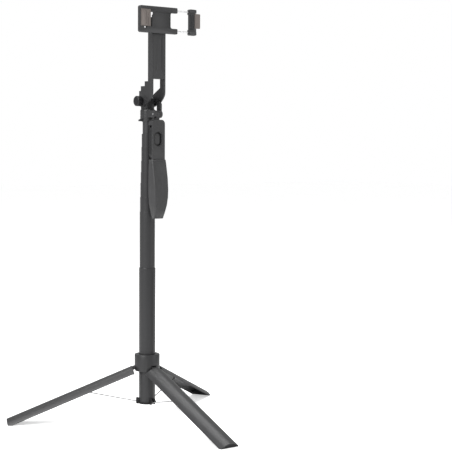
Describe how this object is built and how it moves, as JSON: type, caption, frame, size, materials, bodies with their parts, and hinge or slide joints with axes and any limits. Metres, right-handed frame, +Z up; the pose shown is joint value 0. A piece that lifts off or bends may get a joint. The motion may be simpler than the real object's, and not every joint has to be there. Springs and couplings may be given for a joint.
{
  "type": "selfie stick",
  "caption": "Telescopic selfie stick standing on its folding wire-braced tripod legs, with a tilting arm, turning phone clamp, hinged handle and removable remote.",
  "frame": {"origin": "centre of the flat underside of the foot hub, on the pole's axis; the rubber feet stand 26.4 mm below it", "axes": "+Z up along the pole; -Y is the front, the side that the handle and the arm are on; +X is the way the clamp's sliding jaw opens"},
  "size_m": [0.3722, 0.3251, 0.6167],
  "materials": {
    "plastic_grey": "fine matt",
    "plastic_dark": "fine matt",
    "leaf_grey": "fine matt, faint upright lines",
    "painted_tube": "satin dark grey paint",
    "pad": "soft, warm grey",
    "rubber_black": "matt",
    "steel": "bright",
    "nylon": "natural",
    "board": "solder mask"
  },
  "bodies": {
    "column": {"outer_tube": "painted_tube", "foot_hub": "plastic_dark"},
    "collar": {"collar": "plastic_grey", "collar_bush": "nylon", "leg_pins": "steel"},
    "leg_1": {"leg_1": "plastic_grey", "leg_foot_1": "rubber_black", "strut_pin_1": "steel"},
    "strut_1": {"strut_1": "steel"},
    "leg_2": {"leg_2": "plastic_grey", "leg_foot_2": "rubber_black", "strut_pin_2": "steel"},
    "strut_2": {"strut_2": "steel"},
    "leg_3": {"leg_3": "plastic_grey", "leg_foot_3": "rubber_black", "strut_pin_3": "steel"},
    "strut_3": {"strut_3": "steel"},
    "stage_2": {"tube_2": "painted_tube", "bush_2": "nylon"},
    "stage_3": {"tube_3": "painted_tube", "bush_3": "nylon"},
    "stage_4": {"tube_4": "painted_tube", "bush_4": "nylon"},
    "stage_5": {"tube_5": "painted_tube", "bush_5": "nylon"},
    "stage_6": {"tube_6": "painted_tube", "bush_6": "nylon"},
    "stage_7": {"tube_7": "painted_tube", "bush_7": "nylon"},
    "stage_8": {"tube_8": "painted_tube", "bush_8": "nylon"},
    "stage_9": {"tube_9": "painted_tube", "bush_9": "nylon", "head_base": "plastic_grey", "head_tongue": "plastic_grey", "tilt_washers": "plastic_dark", "handle_pin": "steel"},
    "arm": {"arm_frame": "plastic_grey", "arm_cover": "plastic_grey", "arm_screws": "steel", "clamp_washer": "plastic_dark", "tilt_nut": "steel"},
    "knob": {"tilt_knob": "plastic_dark", "tilt_bolt": "steel"},
    "clamp": {"clamp_frame": "plastic_grey", "clamp_back": "plastic_dark", "clamp_pivot": "steel", "flap_pin": "steel"},
    "jaw": {"jaw": "plastic_grey", "jaw_rods": "steel", "jaw_pin": "steel"},
    "flap_left": {"flap_left": "pad"},
    "flap_right": {"flap_right": "pad"},
    "handle": {"handle_frame": "plastic_grey", "leaf": "leaf_grey"},
    "remote": {"remote_front": "plastic_dark", "remote_back": "plastic_dark", "remote_board": "board", "remote_cell": "steel"},
    "button": {"remote_button": "leaf_grey"}
  },
  "joints": [
    {"name": "collar_slide", "type": "slide", "parent": "column", "child": "collar", "axis": [0, 0, 1], "range_m": [0, 0.129]},
    {"name": "leg_1_fold", "type": "hinge", "parent": "collar", "child": "leg_1", "pos_m": [0, -0.0155, 0.056], "axis": [1, 0, 0], "range_deg": [0, 67.81]},
    {"name": "strut_1_fold", "type": "hinge", "parent": "leg_1", "child": "strut_1", "pos_m": [0, -0.1016, 0.02086], "axis": [-1, 0, 0], "range_deg": [0, 145.53]},
    {"name": "leg_2_fold", "type": "hinge", "parent": "collar", "child": "leg_2", "pos_m": [0.01342, 0.00775, 0.056], "axis": [-0.5, 0.866, 0], "range_deg": [0, 67.81]},
    {"name": "strut_2_fold", "type": "hinge", "parent": "leg_2", "child": "strut_2", "pos_m": [0.08799, 0.0508, 0.02086], "axis": [0.5, -0.866, 0], "range_deg": [0, 145.53]},
    {"name": "leg_3_fold", "type": "hinge", "parent": "collar", "child": "leg_3", "pos_m": [-0.01342, 0.00775, 0.056], "axis": [-0.5, -0.866, 0], "range_deg": [0, 67.81]},
    {"name": "strut_3_fold", "type": "hinge", "parent": "leg_3", "child": "strut_3", "pos_m": [-0.08799, 0.0508, 0.02086], "axis": [0.5, 0.866, 0], "range_deg": [0, 145.53]},
    {"name": "tube_2_slide", "type": "slide", "parent": "column", "child": "stage_2", "axis": [0, 0, 1], "range_m": [-0.0828, 0.076]},
    {"name": "tube_3_slide", "type": "slide", "parent": "stage_2", "child": "stage_3", "axis": [0, 0, 1], "range_m": [-0.0206, 0.1382]},
    {"name": "tube_4_slide", "type": "slide", "parent": "stage_3", "child": "stage_4", "axis": [0, 0, 1], "range_m": [-0.0198, 0.139]},
    {"name": "tube_5_slide", "type": "slide", "parent": "stage_4", "child": "stage_5", "axis": [0, 0, 1], "range_m": [-0.0149, 0.1439]},
    {"name": "tube_6_slide", "type": "slide", "parent": "stage_5", "child": "stage_6", "axis": [0, 0, 1], "range_m": [-0.0159, 0.1429]},
    {"name": "tube_7_slide", "type": "slide", "parent": "stage_6", "child": "stage_7", "axis": [0, 0, 1], "range_m": [-0.0193, 0.1395]},
    {"name": "tube_8_slide", "type": "slide", "parent": "stage_7", "child": "stage_8", "axis": [0, 0, 1], "range_m": [-0.0183, 0.1405]},
    {"name": "tube_9_slide", "type": "slide", "parent": "stage_8", "child": "stage_9", "axis": [0, 0, 1], "range_m": [-0.0168, 0.142]},
    {"name": "arm_tilt", "type": "hinge", "parent": "stage_9", "child": "arm", "pos_m": [0, 0, 0.4535], "axis": [-1, 0, 0], "range_deg": [0, 180]},
    {"name": "knob_turn", "type": "hinge", "parent": "arm", "child": "knob", "pos_m": [0, 0, 0.4535], "axis": [-1, 0, 0], "range_deg": [-180, 180]},
    {"name": "clamp_turn", "type": "hinge", "parent": "arm", "child": "clamp", "pos_m": [0, -0.034, 0.571], "axis": [0, -1, 0], "range_deg": [-90, 90]},
    {"name": "jaw_slide", "type": "slide", "parent": "clamp", "child": "jaw", "axis": [1, 0, 0], "range_m": [-0.0205, 0.018]},
    {"name": "flap_left_fold", "type": "hinge", "parent": "clamp", "child": "flap_left", "pos_m": [-0.0351, -0.0354, 0.571], "axis": [0, 0, -1], "range_deg": [0, 90]},
    {"name": "flap_right_fold", "type": "hinge", "parent": "jaw", "child": "flap_right", "pos_m": [0.0608, -0.0351, 0.571], "axis": [0, 0, -1], "range_deg": [0, 90]},
    {"name": "handle_fold", "type": "hinge", "parent": "stage_9", "child": "handle", "pos_m": [0, -0.0244, 0.434], "axis": [-1, 0, 0], "range_deg": [0, 90]},
    {"name": "remote_out", "type": "slide", "parent": "handle", "child": "remote", "axis": [-1, 0, 0], "range_m": [0, 0.04]},
    {"name": "button_press", "type": "slide", "parent": "remote", "child": "button", "axis": [0, 1, 0], "range_m": [0, 0.0008], "stiffness_N_per_m": 900}
  ],
  "couplings": [
    {"joint": "leg_1_fold", "follows": "collar_slide", "rad_per_m": 9.1731},
    {"joint": "strut_1_fold", "follows": "collar_slide", "rad_per_m": 19.688},
    {"joint": "leg_2_fold", "follows": "collar_slide", "rad_per_m": 9.1731},
    {"joint": "strut_2_fold", "follows": "collar_slide", "rad_per_m": 19.688},
    {"joint": "leg_3_fold", "follows": "collar_slide", "rad_per_m": 9.1731},
    {"joint": "strut_3_fold", "follows": "collar_slide", "rad_per_m": 19.688}
  ]
}
